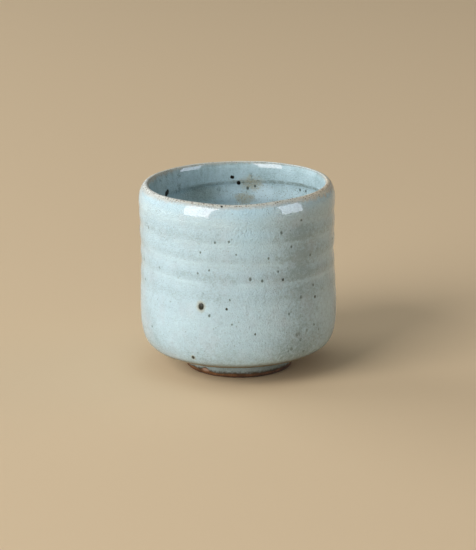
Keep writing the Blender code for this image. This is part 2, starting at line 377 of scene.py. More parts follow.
def foot_outline():
    """A closed half section: down the outside, across the base and up the flared inside."""
    inner_radius = FOOT_RADIUS - FOOT_RING_WIDTH
    outline = []
    for z in between(JOINT_HEIGHT, FOOT_EDGE, 30):
        ring = (1.0 - math.cos(2.0 * math.pi * z / FOOT_TURNING_PITCH)) / 2.0
        outline.append(Vector((FOOT_RADIUS - FOOT_TURNING_DEPTH * ring, z)))
    outer_centre = Vector((FOOT_RADIUS - FOOT_EDGE, FOOT_EDGE))
    for turn in between(0.0, -math.pi / 2, 6)[1:]:
        outline.append(outer_centre + FOOT_EDGE * Vector((math.cos(turn), math.sin(turn))))
    inner_centre = Vector((inner_radius + FOOT_EDGE, FOOT_EDGE))
    for radius in between(outer_centre.x, inner_centre.x, 8)[1:-1]:
        outline.append(Vector((radius, 0.0)))
    for turn in between(-math.pi / 2, -math.pi, 6):
        outline.append(inner_centre + FOOT_EDGE * Vector((math.cos(turn), math.sin(turn))))
    flare = Vector((inner_radius - FOOT_INNER_FLARE, JOINT_HEIGHT))
    outline += [outline[-1].lerp(flare, share) for share in between(0.0, 1.0, 10)[1:]]
    return outline + [flare.lerp(outline[0], share) for share in between(0.0, 1.0, 6)[1:]]


def above_floor(point):
    """Nothing reaches under the floor."""
    return Vector((point.x, point.y, max(point.z, 0.0)))


foot_ring = spun("turned_foot_ring", foot_outline())
roughen(foot_ring, FOOT_SWELL_SIZE, FOOT_SWELL_HEIGHT)
roughen(foot_ring, FOOT_GRIT_SIZE, FOOT_GRIT_HEIGHT)
reshape(foot_ring, leaned)
reshape(foot_ring, above_floor)

# Bare turned stoneware fires reddish brown, dark and rough, with paler grog and scorched patches. Where the
# glaze is lifted it flashed to a pale pinkish tan. The edge that it stands on is darkened with painted
# contact shade.
SCORCH = 5.0 * MM
GROG = 0.8 * MM
FOOT_RELIEF = 0.4 * MM
FLASH_TURN = math.radians(-39)
FLASH_HEIGHT = 2.6 * MM
FLASH_RADIUS = 2.8 * MM
FLASH_FLATNESS = 2.1
FLASH_UNEVENNESS = 3.0 * MM
CONTACT_SHADE_FROM = 0.3 * MM
CONTACT_SHADE_TOP = 1.3 * MM

bare_stoneware = bpy.data.materials.new("bare_turned_stoneware")
bare_stoneware.use_nodes = True
tree = bare_stoneware.node_tree
place = node(tree, "TexCoord").outputs["Object"]
scorch = node(tree, "TexNoise", {"Vector": place, "Scale": 1 / SCORCH, "Detail": 4.0, "Roughness": 0.6})
scorch_share = node(tree, "MapRange", {0: scorch, 1: 0.35, 2: 0.65})
grog = node(tree, "TexVoronoi", {"Vector": place, "Scale": 1 / GROG})
grog = node(tree, "MapRange", {0: grog.outputs["Distance"], 1: 0.15, 2: 0.32, 3: 0.55, 4: 0.0})
flash_out = Vector((math.sin(FLASH_TURN), -math.cos(FLASH_TURN), 0.0))
flash_middle = leaned(FOOT_RADIUS * flash_out + Vector((0.0, 0.0, FLASH_HEIGHT)))
flattened = Vector((1.0, 1.0, FLASH_FLATNESS))
flash_place = node(tree, "VectorMath", {0: place, 1: flattened}, operation="MULTIPLY")
off_flash = node(tree, "VectorMath", {0: flash_place, 1: flash_middle * flattened}, operation="DISTANCE")
uneven = node(tree, "Math", {0: scorch, 1: 0.5}, operation="SUBTRACT")
off_flash = node(
    tree,
    "Math",
    {0: uneven, 1: FLASH_UNEVENNESS, 2: off_flash.outputs["Value"]},
    operation="MULTIPLY_ADD",
)
flash = node(
    tree,
    "MapRange",
    {0: off_flash, 1: 0.4 * FLASH_RADIUS, 2: FLASH_RADIUS, 3: 0.75, 4: 0.0},
    interpolation_type="SMOOTHSTEP",
)
foot_height = node(tree, "SeparateXYZ", {0: place}).outputs["Z"]
# Painted contact shade: the bottom of the foot, up to about a millimetre, is darkened where it meets the
# floor.
painted_contact_shade = node(
    tree,
    "MapRange",
    {0: foot_height, 1: CONTACT_SHADE_FROM, 2: CONTACT_SHADE_TOP, 3: 0.75, 4: 0.0},
    interpolation_type="SMOOTHSTEP",
)
brown = node(tree, "Mix", {0: scorch_share, 6: linear("4E341D"), 7: linear("865A37")}, data_type="RGBA")
brown = layered(tree, brown, [(grog, 1.0, "A67A50"), (flash, 1.0, "B79C8A"), (painted_contact_shade, 1.0, "2A1606")])
grit = node(tree, "TexNoise", {"Vector": place, "Scale": 1 / FOOT_RELIEF, "Detail": 3.0})
relief = node(tree, "Bump", {"Height": grit, "Strength": 0.6, "Distance": 0.12 * MM})
finish = {"Base Color": brown, "Normal": relief, "Roughness": 0.88, "IOR": 1.5}
feed(tree, tree.nodes["Principled BSDF"], finish)
foot_ring.data.materials.append(bare_stoneware)
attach(foot_ring, "root")
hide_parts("foot_ring")

# Outer glaze: a pale blue feldspathic glaze, dipped and fired to glass on the outside. It follows the spiral
# that the fingers left in the wall, pools pale in the grooves and on the belly, runs thin over the lip, and
# ends on the foot in an uneven rolled line, lifted over one bare patch.
GLAZE = 0.45 * MM
RING_PITCH = 9.0 * MM
RING_CREST_HEIGHT = 79.3 * MM
RING_DEPTH = 0.30 * MM
GLAZE_LINE = 1.9 * MM
# The roll at the glaze's edge on the foot: how far out from the clay and up from the line, in millimetres.
GLAZE_ROLL = [(-0.15, 0.0), (0.20, 0.0), (0.50, 0.15), (0.68, 0.45)]
GLAZE_ROLL_TOP = 1.0 * MM
LINE_WAVE = 0.5 * MM
LINE_WAVE_SIZE = 6 * MM
BARE_PATCH_TURN = math.radians(-38)
BARE_PATCH_HALF_ANGLE = math.radians(6)
BARE_PATCH_RISE = 1.5 * MM
# The edge at the lip, in degrees of the lip's turn, and the degrees over which it dips into the clay.
GLAZE_EDGE_TURN = 78
DIP_OVER = 20
LIP_DIP = 0.14 * MM


def spiral_turns(point, crest_height):
    """Turns of the throwing spiral between a point and the crest that is at crest_height in front."""
    return (point.z - crest_height) / RING_PITCH + from_front(point) / (2.0 * math.pi)


def ring_share(height, top):
    """How far the rings stand out: not at the belly, fully from the waist up, and not at the wall's top."""
    rise = ease((height - BELLY_HEIGHT) / (WAIST_HEIGHT - BELLY_HEIGHT))
    return rise * ease((top - height) / (RING_PITCH / 2))


def with_outer_rings(point):
    """Presses the grooves of the spiral into the wall."""
    groove = (1.0 - math.cos(2.0 * math.pi * spiral_turns(point, RING_CREST_HEIGHT))) / 2.0
    depth = RING_DEPTH * ring_share(point.z, SHOULDER_HEIGHT) * groove
    return point - depth * Vector((point.x, point.y, 0.0)).normalized()


def with_glaze_line(point):
    """Lifts and drops the edge on the foot, and lifts it most over the bare patch."""
    share = ease((JOINT_HEIGHT - point.z) / (JOINT_HEIGHT - GLAZE_LINE))
    wave = LINE_WAVE * noise.noise(Vector((point.x, point.y, 0.0)) / LINE_WAVE_SIZE)
    patch = (from_front(point) - BARE_PATCH_TURN) / BARE_PATCH_HALF_ANGLE
    lift = wave + BARE_PATCH_RISE * math.exp(-patch * patch)
    return point + Vector((0.0, 0.0, share * lift))


def thicken(coat):
    """Gives a coat of glaze its thickness, inwards from the skin."""
    bpy.ops.object.modifier_add(type="SOLIDIFY")
    solidify = coat.modifiers[-1]
    solidify.thickness = GLAZE
    solidify.offset = -1.0
    bpy.ops.object.modifier_apply(modifier=solidify.name)


glaze_roll = [Vector((FOOT_RADIUS + out * MM, GLAZE_LINE + up * MM)) for out, up in GLAZE_ROLL]
foot_side = [Vector((FOOT_SKIN_RADIUS, z)) for z in between(GLAZE_LINE + GLAZE_ROLL_TOP, JOINT_HEIGHT, 5)]
coat_turns = between(0.0, math.radians(GLAZE_EDGE_TURN), 18)
dip_start = GLAZE_EDGE_TURN - DIP_OVER
coat_lip = sunk(
    [outer_lip(turn) for turn in coat_turns],
    [LIP_DIP * ease((math.degrees(turn) - dip_start) / DIP_OVER) for turn in coat_turns],
)
outer_skin = glaze_roll + foot_side + foot_fillet()[1:] + heel_and_wall()[1:] + coat_lip[1:]
outer_coat = spun("outer_glaze_coat", outer_skin)
above_line = outer_coat.data.attributes.new("above_line", "FLOAT", "POINT")
for corner, entry in zip(outer_coat.data.vertices, above_line.data):
    entry.value = corner.co.z - GLAZE_LINE
reshape(outer_coat, with_outer_rings)
reshape(outer_coat, with_glaze_line)
roughen(outer_coat, SWELL_SIZE, SWELL_HEIGHT)
reshape(outer_coat, with_lip_wave)
reshape(outer_coat, leaned)
thicken(outer_coat)

# Iron spots outside: angle from the front in degrees, height and width in millimetres. The hard ones come up
# through the glaze, the soft ones stay under it, and the faint marks lie deepest. Wide hard ones have a halo.
HARD_SPOTS = [
    (-21.4, 39.1, 3.1), (-6.5, 38.7, 1.1), (-28, 14.4, 1.6), (26.7, 50.8, 1.2),
    (50, 39.8, 1.3), (9.4, 27.1, 0.9), (92, 33, 1.5), (128, 47, 1.1), (150, 22, 1.3), (165, 58, 1.9),
    (-170, 74, 1.1), (-152, 35, 2.1), (-118, 27, 1.2), (-105, 52, 1.4), (-8.8, 84.5, 1.3),
]
SOFT_SPOTS = [
    (-16.5, 35.2, 1.3), (7.2, 52.2, 1.5), (14, 51.2, 1.3), (23.7, 54.7, 1.2), (38.6, 41.4, 1.4),
    (30, 34.7, 1.2), (48.5, 27.2, 1.1), (25.8, 72.2, 1.4),
    (32.5, 65.1, 1.2), (39.4, 76.4, 1.2), (-0.7, 63.4, 0.9), (-4.7, 69.3, 0.9), (-12.6, 68.7, 1.1),
    (-21.4, 63.7, 1.0), (-16.4, 55.8, 1.0), (17.9, 61.2, 1.0), (46.6, 59.5, 1.2), (-23.3, 54, 1.0),
    (49, 45.4, 1.2), (-4.6, 42.9, 0.9), (-3.6, 31.7, 0.9), (75, 62, 1.2), (110, 70, 1.0), (178, 40, 1.1),
    (-140, 60, 1.1), (-88, 68, 1.2), (-70, 44, 1.1), (-60, 24, 1.0),
]
FAINT_MARKS = [
    (36.9, 24.9, 1.6), (35.2, 24.4, 1.7), (38.1, 21.7, 1.6), (42.6, 25.5, 1.3), (32.1, 18.1, 1.7),
    (41.6, 15.6, 1.2), (53, 24, 1.1), (30, 17.3, 1.1), (-63, 69.4, 1.4), (-72, 52.9, 1.5), (-51.6, 52.9, 1.1),
]
SPOT_LENGTHWAYS = 0.8
HALO_FROM_WIDTH = 1.5


def on_coat(coat, angle, height, from_axis):
    """The point and normal where a level line at that angle and height meets the coat."""
    turn = math.radians(angle)
    out = Vector((math.sin(turn), -math.cos(turn), 0.0))
    start = leaned(Vector((0.0, 0.0, height * MM)))
    if from_axis:
        return coat.ray_cast(start, out)[1:3]
    return coat.ray_cast(start + 2 * BELLY_RADIUS * out, -out)[1:3]


def iron_specks(tree, place, spacing, size, share):
    """A mask of iron specks: dots of about that size, one to a cell, in about that share of the cells."""
    cells = node(tree, "TexVoronoi", {"Vector": place, "Scale": 1 / spacing})
    dots = node(
        tree,
        "MapRange",
        {0: cells.outputs["Distance"], 1: 0.2 * size / spacing, 2: 0.6 * size / spacing, 3: 1.0, 4: 0.0},
        interpolation_type="SMOOTHSTEP",
    )
    kept = node(tree, "Math", {0: cells.outputs["Color"], 1: share}, operation="LESS_THAN")
    return node(tree, "Math", {0: dots, 1: kept}, operation="MULTIPLY")


def spot_stains(tree, place, coat, spots, from_axis, reach, lengthways):
    """A mask round each spot, out to reach times its half width, with heights counted at a share."""
    bpy.context.view_layer.update()
    counted = Vector((1.0, 1.0, lengthways))
    place = node(tree, "VectorMath", {0: place, 1: counted}, operation="MULTIPLY")
    stains = 0.0
    for angle, height, width in spots:
        centre = on_coat(coat, angle, height, from_axis)[0] * counted
        far = node(tree, "VectorMath", {0: place, 1: centre}, operation="DISTANCE").outputs["Value"]
        edge = width * MM / 2
        stain = node(
            tree,
            "MapRange",
            {0: far, 1: 0.4 * edge, 2: reach * edge, 3: 1.0, 4: 0.0},
            interpolation_type="SMOOTHSTEP",
        )
        stains = node(tree, "Math", {0: stain, 1: stains}, operation="MAXIMUM")
    return stains


# Pale blue stoneware glaze: glass with fine bubbles and iron in it. Thick glaze is milky pale blue, thinner
# glaze greener and greyer, and where it breaks over an edge the clay shows tan through it. It is glossy, and
# slightly rippled by the clay under it.
OUTER_CLOUDS = 16 * MM
GLAZE_MOTTLE = 3.2 * MM
COARSE_GRAIN = 1.5 * MM
COARSE_LEFT = math.radians(-35)
COARSE_RIGHT = math.radians(25)
RAGGED_EDGE = 1.3 * MM
GLAZE_GRAIN = 0.7 * MM
GREY_TINGE = 9 * MM
OUTER_RELIEF = 0.65 * MM
POOL_PLACE = 0.66
POOL_HALF_WIDTH = 0.17
LOWEST_RING = 52 * MM
LOWEST_RING_TOP = 56 * MM
LOWEST_LEFT = math.radians(-45)
LOWEST_RIGHT = math.radians(-15)
POOL_LINES_FROM = 41 * MM
POOL_LINES_FULL = 46 * MM
BELLY_POOL_HEIGHT = 33 * MM
BELLY_POOL_FULL = 2 * MM
BELLY_POOL_REACH = 14 * MM
THIN_SHADED_SIDE = math.radians(39)
THIN_SHADED_SIDE_REACH = math.radians(20)
LEFT_SHADE = math.radians(-64)
LEFT_SHADE_REACH = math.radians(26)
FRONT_POOL = math.radians(7)
FRONT_POOL_REACH = math.radians(20)
SPOT_UNEVENNESS = 0.8 * MM
OUTER_RUN_WIDTH = 1.1 * MM
OUTER_RUN_DROP = 0.3
THIN_LIP_FROM = 84.2 * MM
THIN_LIP_FULL = 86.2 * MM


def glaze_places(tree):
    """A coat's places: as they are, in parts, by height up the leaning wall, and by angle from the front."""
    place = node(tree, "TexCoord").outputs["Object"]
    parts = node(tree, "SeparateXYZ", {0: place}).outputs
    up = (-math.tan(LEAN), 0.0, 1.0)
    height = node(tree, "VectorMath", {0: place, 1: up}, operation="DOT_PRODUCT").outputs["Value"]
    towards_viewer = node(tree, "Math", {0: parts["Y"], 1: -1.0}, operation="MULTIPLY")
    around = node(tree, "Math", {0: parts["X"], 1: towards_viewer}, operation="ARCTAN2")
    return place, parts, height, around


def glaze_patterns(tree, place, cloud_size):
    """The unevenness of the coat: broad clouds, a mottle, a fine grain, and the ragged line of an edge."""
    patterns = []
    for size, detail, roughness in (
        (cloud_size, 3.0, 0.5),
        (GLAZE_MOTTLE, 5.0, 0.8),
        (GLAZE_GRAIN, 2.0, 0.6),
        (RAGGED_EDGE, 3.0, 0.7),
    ):
        settings = {"Vector": place, "Scale": 1 / size, "Detail": detail, "Roughness": roughness}
        patterns.append(node(tree, "TexNoise", settings))
    return patterns


def spiral_phase(tree, height, around, crest_height):
    """The angle of the throwing spiral, upwards from the crest that is at crest_height in front."""
    phase = node(
        tree,
        "Math",
        {0: height, 1: 2 * math.pi / RING_PITCH, 2: -2 * math.pi * crest_height / RING_PITCH},
        operation="MULTIPLY_ADD",
    )
    return node(tree, "Math", {0: phase, 1: around}, operation="ADD")


def wall_runs(tree, height, around, width, drop, detail):
    """A pattern of runs of about that width down the wall, with heights counted at the share drop."""
    round_wall = node(tree, "Math", {0: around, 1: LIP_RADIUS}, operation="MULTIPLY")
    down_wall = node(tree, "Math", {0: height, 1: drop}, operation="MULTIPLY")
    place = node(tree, "CombineXYZ", {0: round_wall, 1: down_wall})
    return node(tree, "TexNoise", {"Vector": place, "Scale": 1 / width, "Detail": detail, "Roughness": 0.6})


def band(tree, value, middle, full, reach, amount):
    """An amount where a value is near the middle: all of it as far off as full, and none from reach on."""
    off = node(tree, "Math", {0: value, 1: middle}, operation="SUBTRACT")
    off = node(tree, "Math", {0: off}, operation="ABSOLUTE")
    fade = {0: off, 1: full, 2: reach, 3: amount, 4: 0.0}
    return node(tree, "MapRange", fade, interpolation_type="SMOOTHSTEP")


def moved_about(tree, place, pattern, reach):
    """The places moved about by a pattern, so that what is drawn at them gets an uneven outline."""
    move = node(tree, "VectorMath", {0: pattern.outputs["Color"], 1: (0.5, 0.5, 0.5)}, operation="SUBTRACT")
    move = node(tree, "VectorMath", {0: move, "Scale": reach}, operation="SCALE")
    return node(tree, "VectorMath", {0: place, 1: move}, operation="ADD")


def glass_colour(tree, depth, thin, usual, thick):
    """The colour of the glass by how deep it lies."""
    to_usual = node(tree, "MapRange", {0: depth, 1: 0.25, 2: 0.52})
    to_thick = node(tree, "MapRange", {0: depth, 1: 0.50, 2: 0.85})
    colour = node(tree, "Mix", {0: to_usual, 6: linear(thin), 7: linear(usual)}, data_type="RGBA")
    return node(tree, "Mix", {0: to_thick, 6: colour, 7: linear(thick)}, data_type="RGBA")


def finish_glaze(tree, coat, grain, relief_height):
    """Smooth clear glass over the coloured and grainy glaze."""
    relief = node(tree, "Bump", {"Height": grain, "Strength": 1.0, "Distance": relief_height})
    finish = {"Base Color": coat, "Normal": relief, "Roughness": 0.6, "Specular IOR Level": 0.0}
    finish.update({"Coat Weight": 1.0, "Coat Roughness": 0.05, "Coat IOR": 1.6})
    feed(tree, tree.nodes["Principled BSDF"], finish)


outer_glaze = bpy.data.materials.new("pale_blue_stoneware_glaze")
outer_glaze.use_nodes = True
tree = outer_glaze.node_tree
place, parts, height, around = glaze_places(tree)
clouds, mottle, grain, ragged = glaze_patterns(tree, place, OUTER_CLOUDS)

# How deep the coat lies: thin on the crests of the spiral, with a pale line of pooled glaze under each.
phase = spiral_phase(tree, height, around, RING_CREST_HEIGHT)
lowest_ring = node(tree, "MapRange", {0: height, 1: LOWEST_RING, 2: LOWEST_RING_TOP, 3: 1.2, 4: 0.0})
lowest_side = node(tree, "MapRange", {0: around, 1: LOWEST_LEFT, 2: LOWEST_RIGHT, 3: 0.15, 4: 1.0})
lowest_ring = node(tree, "Math", {0: lowest_ring, 1: lowest_side, 2: 1.0}, operation="MULTIPLY_ADD")
rings_here = node(
    tree, "MapRange", {0: height, 1: BELLY_HEIGHT, 2: WAIST_HEIGHT}, interpolation_type="SMOOTHSTEP"
)
crests = node(tree, "Math", {0: phase}, operation="COSINE")
for share in (rings_here, clouds, lowest_ring):
    crests = node(tree, "Math", {0: crests, 1: share}, operation="MULTIPLY")
above_crest = node(tree, "Math", {0: phase, 1: 1 / (2 * math.pi)}, operation="MULTIPLY")
above_crest = node(tree, "Math", {0: above_crest}, operation="FRACT")
pool_parts = node(tree, "MapRange", {0: clouds, 1: 0.42, 2: 0.62, 3: 0.02, 4: 0.16})
lines_here = node(tree, "MapRange", {0: height, 1: POOL_LINES_FROM, 2: POOL_LINES_FULL})
pool_line = band(tree, above_crest, POOL_PLACE, 0.0, POOL_HALF_WIDTH, 1.0)
for share in (pool_parts, lowest_ring, lines_here):
    pool_line = node(tree, "Math", {0: pool_line, 1: share}, operation="MULTIPLY")

# It pools on the shoulder, the belly and in front. The heel and the lower left of the belly are darkened with
# painted shade, and a strip down the right side is thin glaze darkened further with painted core shade.
shoulder_pool = node(
    tree,
    "MapRange",
    {0: height, 1: 73 * MM, 2: 80 * MM, 3: 0.0, 4: 0.20},
    interpolation_type="SMOOTHSTEP",
)
# Painted shade: the glaze on the heel is darker towards the floor, where the wall faces down.
painted_heel_shade = node(
    tree,
    "MapRange",
    {0: height, 1: 10 * MM, 2: 24 * MM, 3: -0.10, 4: 0.0},
    interpolation_type="SMOOTHSTEP",
)
belly_pool = band(tree, height, BELLY_POOL_HEIGHT, BELLY_POOL_FULL, BELLY_POOL_REACH, 0.10)
# Partly thin glaze and partly painted core shade: a strip down the right side, strongest on the upper wall.
thin_shaded_side = band(tree, around, THIN_SHADED_SIDE, 0.0, THIN_SHADED_SIDE_REACH, -0.20)
upper_wall = node(tree, "MapRange", {0: height, 1: 46 * MM, 2: 60 * MM, 3: 0.9, 4: 1.25})
under_shoulder = node(tree, "MapRange", {0: height, 1: 72 * MM, 2: 78 * MM, 3: 1.0, 4: 0.15})
for share in (upper_wall, under_shoulder):
    thin_shaded_side = node(tree, "Math", {0: thin_shaded_side, 1: share}, operation="MULTIPLY")
# Painted shade: the glaze is darker low on the left of the belly.
painted_left_shade = band(tree, around, LEFT_SHADE, 0.0, LEFT_SHADE_REACH, -0.12)
low_wall = node(tree, "MapRange", {0: height, 1: 46 * MM, 2: 36 * MM})
painted_left_shade = node(tree, "Math", {0: painted_left_shade, 1: low_wall}, operation="MULTIPLY")
front_pool = band(tree, around, FRONT_POOL, 0.0, FRONT_POOL_REACH, 1.0)
front_depth = node(
    tree,
    "MapRange",
    {0: height, 1: 60 * MM, 2: 70 * MM, 3: 0.06, 4: 0.20},
    interpolation_type="SMOOTHSTEP",
)
front_pool = node(tree, "Math", {0: front_pool, 1: front_depth}, operation="MULTIPLY")
coarse = node(tree, "TexNoise", {"Vector": place, "Scale": 1 / COARSE_GRAIN, "Detail": 2.0, "Roughness": 0.5})
coarse = node(tree, "Math", {0: coarse, 1: 0.5}, operation="SUBTRACT")
coarse_side = node(tree, "MapRange", {0: around, 1: COARSE_LEFT, 2: COARSE_RIGHT, 3: 0.0, 4: 0.6})
depth = -0.145
for part, share in (
    (crests, -0.09),
    (painted_left_shade, 1.0),
    (front_pool, 1.0),
    (belly_pool, 1.0),
    (thin_shaded_side, 1.0),
    (pool_line, 1.0),
    (clouds, 0.30),
    (mottle, 0.50),
    (coarse, coarse_side),
    (grain, 0.55),
    (painted_heel_shade, 1.0),
    (shoulder_pool, 1.0),
):
    depth = node(tree, "Math", {0: part, 1: share, 2: depth}, operation="MULTIPLY_ADD")

# Its colour, with a greyer tinge in places and milky in front, then iron specks and the stain of each spot.
coat = glass_colour(tree, depth, "98B0BA", "B5D1E0", "C9E5F3")
tinge = node(tree, "TexNoise", {"Vector": place, "Scale": 1 / GREY_TINGE, "Detail": 2.0})
tinge = node(tree, "MapRange", {0: tinge, 1: 0.52, 2: 0.72, 3: 0.0, 4: 0.25})
spot_place = moved_about(tree, place, grain, SPOT_UNEVENNESS)
fine_specks = iron_specks(tree, place, 1.0 * MM, 0.5 * MM, 0.5)
soft_specks = iron_specks(tree, spot_place, 3.0 * MM, 0.8 * MM, 0.5)
coat = layered(
    tree,
    coat,
    [
        (tinge, 1.0, "BEC9D6"),
        (front_pool, 2.5, "B2DBF2"),
        (fine_specks, 0.28, "6F7D7D"),
        (soft_specks, 0.40, "5F6A66"),
    ],
)
wide_spots = [spot for spot in HARD_SPOTS if spot[2] > HALO_FROM_WIDTH]
for spots, reach, share, tint in (
    (FAINT_MARKS, 1.4, 0.52, "4E5A4C"),
    (SOFT_SPOTS, 1.3, 0.78, "364941"),
    (wide_spots, 1.9, 0.6, "B3A479"),
    (HARD_SPOTS, 1.25, 0.9, "2C3A33"),
):
    stains = spot_stains(tree, spot_place, outer_coat, spots, False, reach, SPOT_LENGTHWAYS)
    coat = layered(tree, coat, [(stains, share, tint)])

# At the lip it runs thin over the clay in a ragged line, furthest at the right end, where the runs are brown.
right_end = node(tree, "MapRange", {0: parts["X"], 1: 22 * MM, 2: 43 * MM})
left_end = node(tree, "MapRange", {0: parts["X"], 1: -26 * MM, 2: -43 * MM})
line = node(tree, "Attribute", attribute_name="above_line").outputs["Fac"]
runs = wall_runs(tree, height, around, OUTER_RUN_WIDTH, OUTER_RUN_DROP, 2.0)
run_reach = node(tree, "MapRange", {0: runs, 1: 0.35, 2: 0.65, 3: 0.2 * MM, 4: 2.3 * MM})
lip_height = node(tree, "Math", {0: line, 1: GLAZE_LINE}, operation="ADD")
for part, share in ((ragged, 2.0 * MM), (run_reach, right_end), (left_end, 0.6 * MM)):
    lip_height = node(tree, "Math", {0: part, 1: share, 2: lip_height}, operation="MULTIPLY_ADD")
thin_at_lip = node(
    tree,
    "MapRange",
    {0: lip_height, 1: THIN_LIP_FROM, 2: THIN_LIP_FULL, 3: 0.0, 4: 0.9},
    interpolation_type="SMOOTHSTEP",
)
brown_runs = node(tree, "Math", {0: runs, 1: right_end}, operation="MULTIPLY")
brown_runs = node(tree, "MapRange", {0: brown_runs, 1: 0.40, 2: 0.6, 3: 0.0, 4: 0.5})
lip_specks = iron_specks(tree, place, 0.9 * MM, 0.6 * MM, 0.6)
lip_tan = node(tree, "Mix", {0: right_end, 6: linear("C6C7C1"), 7: linear("F0E5CE")}, data_type="RGBA")
lip_tan = layered(
    tree, lip_tan, [(brown_runs, 1.0, "84694C"), (left_end, 1.0, "DADEDB"), (lip_specks, 0.8, "66574A")]
)
coat = node(tree, "Mix", {0: thin_at_lip, 6: coat, 7: lip_tan}, data_type="RGBA")

# Under the heel it is olive, partly thin glaze over the turned edge and partly painted shade under the belly.
# On the foot it is greyed with painted shade where the belly shades it, and its last edge is burnt brown.
thin_heel_and_shade = node(
    tree,
    "MapRange",
    {0: height, 1: 9.8 * MM, 2: 12.8 * MM, 3: 0.95, 4: 0.0},
    interpolation_type="SMOOTHSTEP",
)
off_foot = node(tree, "MapRange", {0: height, 1: 5.4 * MM, 2: 6.4 * MM})
# Painted shade: the glaze on the foot is greyed where the belly shades it.
painted_foot_shade = node(tree, "MapRange", {0: height, 1: 4.8 * MM, 2: 6.0 * MM, 3: 0.5, 4: 0.0})
burnt_line = node(tree, "Math", {0: ragged, 1: 0.5}, operation="SUBTRACT")
burnt_line = node(tree, "Math", {0: burnt_line, 1: 2.4 * MM, 2: line}, operation="MULTIPLY_ADD")
burnt_line = node(
    tree,
    "MapRange",
    {0: burnt_line, 1: 0.2 * MM, 2: 1.7 * MM, 3: 0.9, 4: 0.0},
    interpolation_type="SMOOTHSTEP",
)
coat = layered(
    tree, coat, [(thin_heel_and_shade, off_foot, "5C583A"), (painted_foot_shade, 1.0, "8E9A96"), (burnt_line, 1.0, "52442F")]
)
finish_glaze(tree, coat, grain, OUTER_RELIEF)
outer_coat.data.materials.append(outer_glaze)
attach(outer_coat, "root")
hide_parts("outer_glaze")

# Inner glaze: the same glaze poured inside and tipped out, so it lies a little thicker and bluer. The last
# pull of the fingers left a spiral ridge under the lip, over which it breaks to olive, and it runs down from
# the lip in faint streaks.
INNER_EDGE_TURN = 14
RIDGE_DEPTH = 0.5 * MM
LOWER_RIDGE_SHARE = 0.08
RIDGE_CREST_HEIGHT = 81.0 * MM
RIDGE_STEP = 0.3
RIDGE_GROWTH = 0.25
FIRST_RIDGE_LOWEST = 70 * MM


def with_inner_rings(point):
    """The ridge starts in front. Under it the wall steps back, and comes in slowly to the next turn below."""
    turns = spiral_turns(point, RIDGE_CREST_HEIGHT)
    wound = from_front(point) / (2.0 * math.pi) - math.ceil(turns)
    above_crest = turns % 1.0
    step_start = 1.0 - RIDGE_STEP
    if above_crest < step_start:
        groove = ease(above_crest / step_start)
    else:
        groove = 1.0 - ease((above_crest - step_start) / RIDGE_STEP)
    lower = ease((FIRST_RIDGE_LOWEST - point.z) / RING_PITCH)
    depth = RIDGE_DEPTH * (1.0 - (1.0 - LOWER_RIDGE_SHARE) * lower) * groove
    depth *= ease(wound / RIDGE_GROWTH) * ring_share(point.z, RIM_HEIGHT - LIP_INNER_DROP)
    return point + depth * Vector((point.x, point.y, 0.0)).normalized()


start_turns = between(math.radians(INNER_EDGE_TURN), math.pi / 2, 14)
inner_start = sunk(
    [inner_lip(turn) for turn in start_turns],
    [LIP_DIP * (1.0 - ease((math.degrees(turn) - INNER_EDGE_TURN) / DIP_OVER)) for turn in start_turns],
)
inner_coat = spun("inner_glaze_coat", inner_start + inner_wall_and_floor()[1:])
under_rim = inner_coat.data.attributes.new("under_rim", "FLOAT", "POINT")
for corner, entry in zip(inner_coat.data.vertices, under_rim.data):
    entry.value = RIM_HEIGHT - corner.co.z
reshape(inner_coat, with_inner_rings)
roughen(inner_coat, SWELL_SIZE, SWELL_HEIGHT)
reshape(inner_coat, with_lip_wave)
reshape(inner_coat, leaned)
thicken(inner_coat)

# Iron spots inside, patches where the glaze is thin, paler patches, and at the left a thin patch darkened
# further with painted shade: angle, height and width as outside.
INNER_SPOTS = [
    (178.9, 75.4, 2.1), (-177.2, 78.2, 1.5), (-176.3, 78.3, 1.5), (-125.1, 75.2, 2.4), (-123.8, 74.6, 2.6),
    (60, 60, 1.4), (20, 48, 1.1), (-40, 55, 1.2),
    (95, 40, 1.3), (-90, 38, 1.0), (-15, 70, 1.1), (150, 35, 1.2), (-160, 45, 1.0), (35, 30, 1.0),
]
INNER_SOFT_SPOTS = [(172.8, 72.9, 1.5), (167.7, 74, 1.2), (132.5, 75.1, 1.3), (126.5, 75.3, 1.2)]
INNER_FAINT_MARKS = [
    (-124.5, 82.8, 1.6), (-116.5, 82.4, 1.7), (-137, 82, 1.5), (-136.7, 76, 2.0), (-133.7, 75, 1.3),
    (-167.8, 72.2, 1.7), (176, 75.4, 1.1), (170, 79, 1.8), (165, 77.5, 1.3), (25, 60, 1.5), (-60, 66, 1.6),
]
THIN_PATCHES = [(170, 75.6, 13), (175, 68, 11), (-60, 50, 12), (70, 34, 13)]
THIN_PATCH_LENGTHWAYS = 1.7
THIN_SHADED_SIDES = [(-153, 71, 25)]
THIN_SHADED_SIDE_LENGTHWAYS = 2.6
PALE_PATCHES = [(162, 71, 12), (-20, 40, 18), (-110, 60, 14)]
PALE_PATCH_LENGTHWAYS = 1.0
FAINT_LENGTHWAYS = 0.6

# The liner is the same glass, a shade bluer where it lies thick, with olive and tan where it is thin.
INNER_CLOUDS = 11 * MM
INNER_RELIEF = 0.4 * MM
RIDGE_LINE_SHIFT = 0.35
INNER_RUN_WIDTH = 2.2 * MM
INNER_RUN_DROP = 0.12
PATCH_UNEVENNESS = 9 * MM
INNER_THIN_LIP_FROM = 0.7 * MM
INNER_THIN_LIP_FULL = -1.0 * MM

inner_glaze = bpy.data.materials.new("blue_stoneware_liner_glaze")
inner_glaze.use_nodes = True
tree = inner_glaze.node_tree
place, parts, height, around = glaze_places(tree)
clouds, mottle, grain, ragged = glaze_patterns(tree, place, INNER_CLOUDS)

